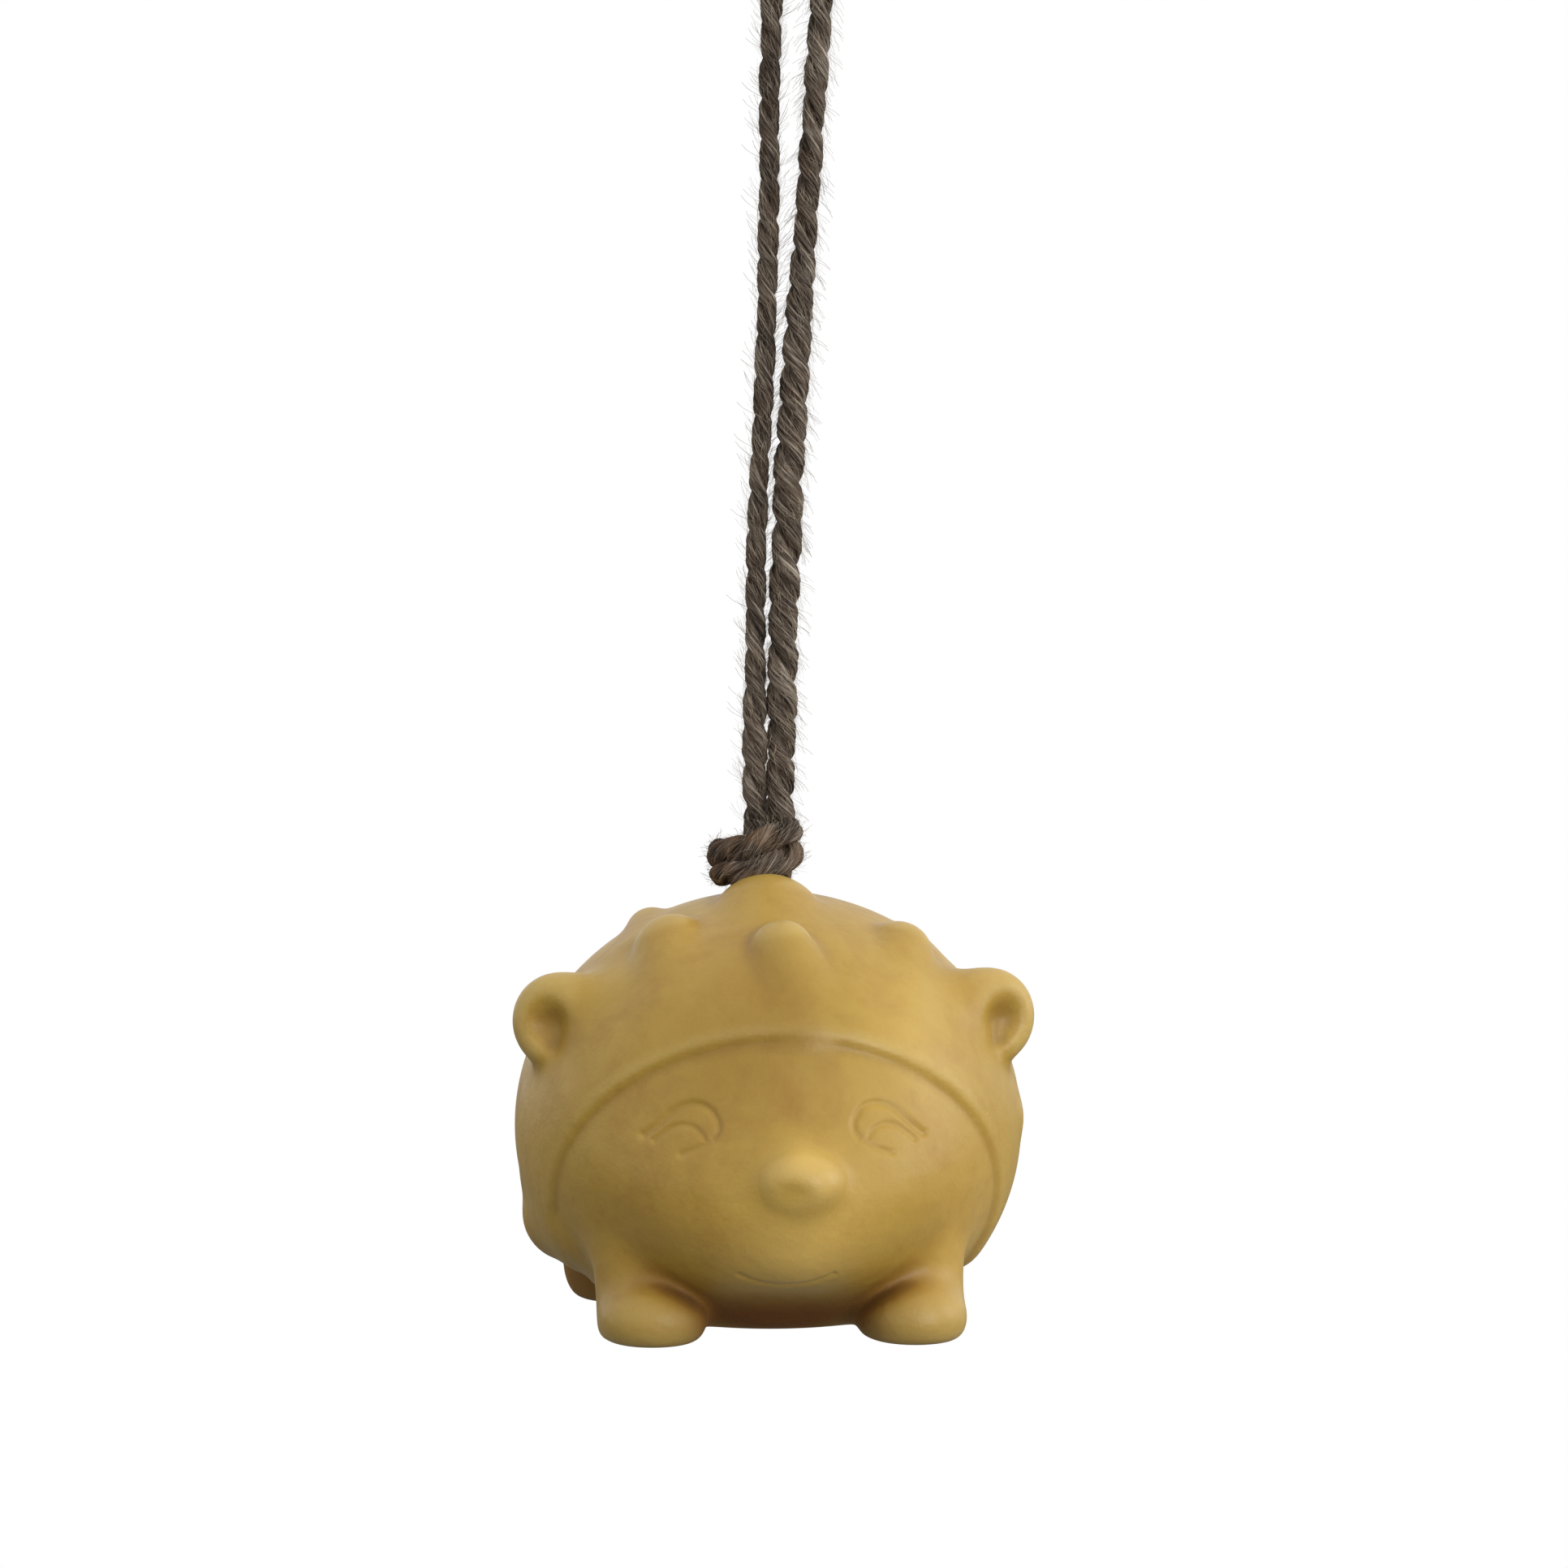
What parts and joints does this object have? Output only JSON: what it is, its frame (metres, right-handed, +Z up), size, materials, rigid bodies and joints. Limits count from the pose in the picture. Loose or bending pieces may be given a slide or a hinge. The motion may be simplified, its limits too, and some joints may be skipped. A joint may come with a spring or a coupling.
{
  "type": "hanging hedgehog figurine",
  "caption": "Chubby hedgehog figurine with a hood of blunt quills, round ears and stubby feet, hanging on a doubled twine loop that is knotted on its crown.",
  "frame": {"origin": "the hanging point: the inside of the top of the cord loop, where it bears on a hook or finger", "axes": "+Z up, from the soles to the hook; the figure faces -Y; +X is on the viewer's right"},
  "size_m": [0.0667, 0.0761, 0.1712],
  "materials": {
    "casting": "satin mustard yellow, soap-like",
    "twine": "natural brown jute"
  },
  "bodies": {
    "cord": {"hanging_loop": "twine"},
    "figure": {"hedgehog_body": "casting", "knot_wrap": "twine", "knot_core": "twine", "bore_strand_left": "twine", "bore_strand_right": "twine", "anchor_knot": "twine"}
  },
  "joints": [
    {"name": "figure_swing", "type": "hinge", "parent": "cord", "child": "figure", "pos_m": [-0.00385, 0, -0.1066], "axis": [1, 0, 0], "range_deg": [-60, 60]}
  ]
}
